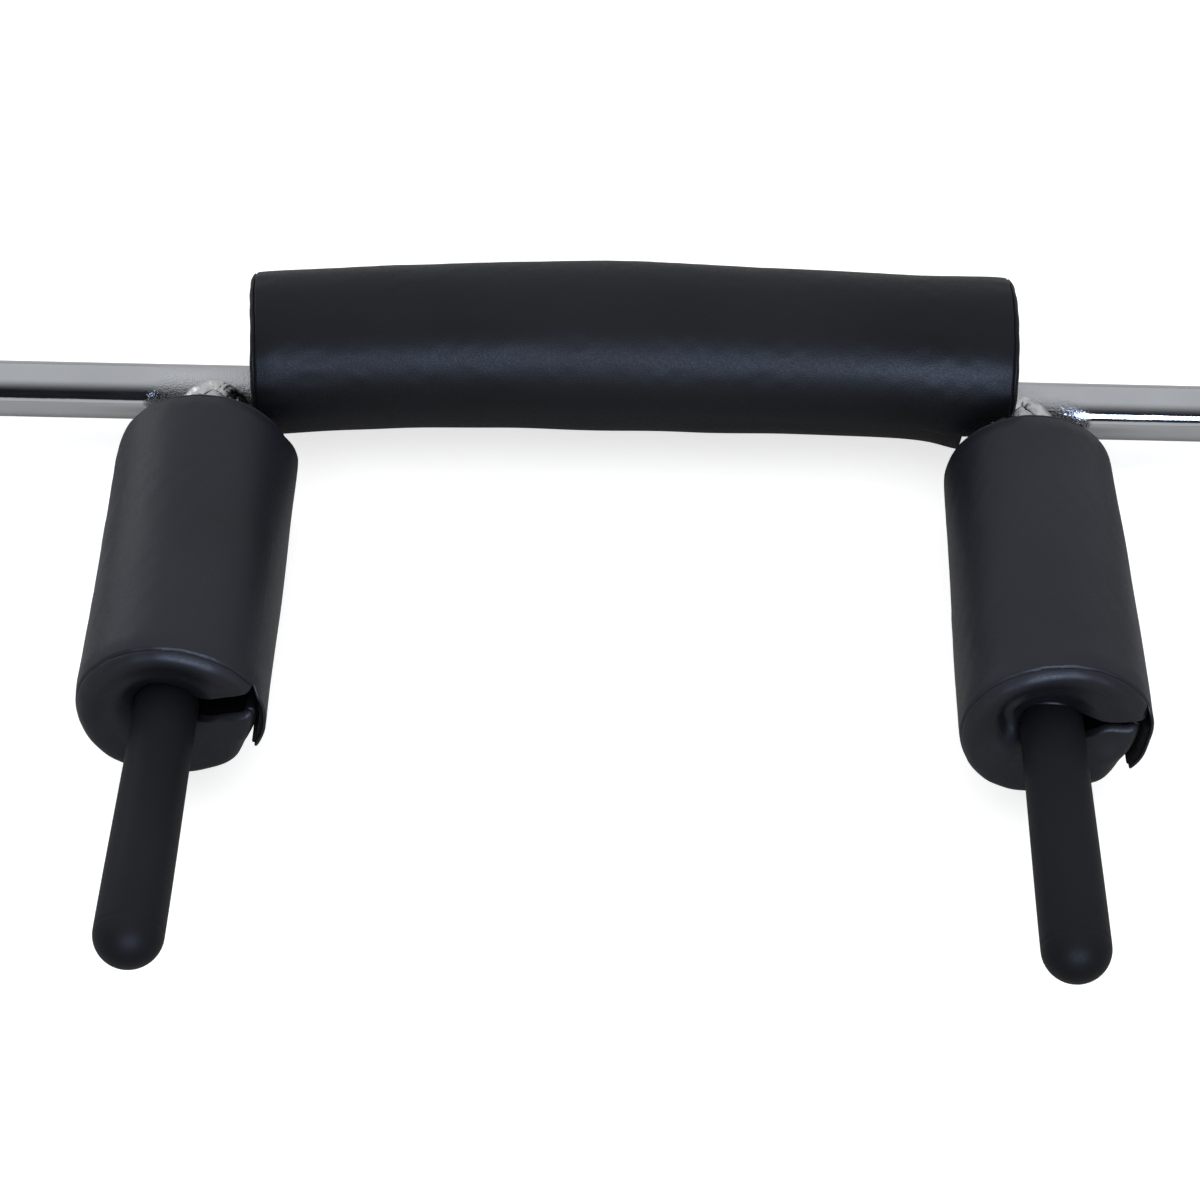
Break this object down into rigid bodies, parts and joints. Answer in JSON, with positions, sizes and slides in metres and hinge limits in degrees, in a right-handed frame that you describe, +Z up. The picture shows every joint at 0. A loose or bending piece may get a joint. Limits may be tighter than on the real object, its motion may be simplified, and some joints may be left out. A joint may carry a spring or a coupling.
{
  "type": "safety squat bar",
  "caption": "Straight chromed barbell with a padded yoke: a neck pad round the shaft, two forward arms with shoulder pads and domed hand grips, and turning plate sleeves.",
  "frame": {"origin": "on the floor, under the middle of the bar's box as it lies on its two plate stops and its shoulder pads", "axes": "+X along the shaft, -Y the way the two arms point, +Z up"},
  "size_m": [2.184, 0.4288, 0.1186],
  "materials": {
    "chrome": "bright chrome plate",
    "weld": "rippled weld bead under chrome plate",
    "leatherette": "soft black leatherette with a fine grain",
    "foam": "open-cell foam",
    "tape": "woven hook-and-loop tape",
    "grip_rubber": "matte black moulded rubber with a fine speckle",
    "cap_plastic": "black moulded plastic",
    "bronze": "oiled sintered bronze",
    "spring_steel": "phosphated spring steel"
  },
  "bodies": {
    "yoke": {"main_shaft": "chrome", "arm_tube_left": "chrome", "arm_tube_right": "chrome", "weld_bead_left": "weld", "weld_bead_right": "weld", "hand_grip_left": "grip_rubber", "hand_grip_right": "grip_rubber", "neck_pad_foam": "foam", "neck_pad_cover": "leatherette", "neck_pad_left_panel": "leatherette", "neck_pad_right_panel": "leatherette", "neck_pad_loop_tape": "tape", "shoulder_pad_left_foam": "foam", "shoulder_pad_left_cover": "leatherette", "shoulder_pad_left_rear_panel": "leatherette", "shoulder_pad_left_front_panel": "leatherette", "shoulder_pad_left_loop_tape": "tape", "shoulder_pad_right_foam": "foam", "shoulder_pad_right_cover": "leatherette", "shoulder_pad_right_rear_panel": "leatherette", "shoulder_pad_right_front_panel": "leatherette", "shoulder_pad_right_loop_tape": "tape", "thrust_washer_left": "bronze", "thrust_washer_right": "bronze", "retaining_ring_left": "spring_steel", "retaining_ring_right": "spring_steel"},
    "left_sleeve": {"plate_stop_left": "chrome", "plate_sleeve_left": "chrome", "sleeve_end_cap_left": "cap_plastic", "inner_bushing_left": "bronze", "outer_bushing_left": "bronze"},
    "right_sleeve": {"plate_stop_right": "chrome", "plate_sleeve_right": "chrome", "sleeve_end_cap_right": "cap_plastic", "inner_bushing_right": "bronze", "outer_bushing_right": "bronze"},
    "neck_flap": {"neck_pad_flap": "leatherette", "neck_pad_hook_tape": "tape"},
    "left_shoulder_flap": {"shoulder_pad_left_flap": "leatherette", "shoulder_pad_left_hook_tape": "tape"},
    "right_shoulder_flap": {"shoulder_pad_right_flap": "leatherette", "shoulder_pad_right_hook_tape": "tape"}
  },
  "joints": [
    {"name": "left_sleeve_spin", "type": "hinge", "parent": "yoke", "child": "left_sleeve", "pos_m": [-0.87, 0.14746, 0.03896], "axis": [1, 0, 0], "continuous": true},
    {"name": "right_sleeve_spin", "type": "hinge", "parent": "yoke", "child": "right_sleeve", "pos_m": [0.87, 0.14746, 0.03896], "axis": [1, 0, 0], "continuous": true},
    {"name": "neck_flap_hinge", "type": "hinge", "parent": "yoke", "child": "neck_flap", "pos_m": [0.008, 0.12591, 0.04888], "axis": [-1, 0, 0], "range_deg": [0, 60]},
    {"name": "left_shoulder_flap_hinge", "type": "hinge", "parent": "yoke", "child": "left_shoulder_flap", "pos_m": [-0.16749, 0.01786, 0.07115], "axis": [0, -0.9883, 0.1524], "range_deg": [0, 100]},
    {"name": "right_shoulder_flap_hinge", "type": "hinge", "parent": "yoke", "child": "right_shoulder_flap", "pos_m": [0.26251, 0.01786, 0.07115], "axis": [0, -0.9883, 0.1524], "range_deg": [0, 100]}
  ]
}
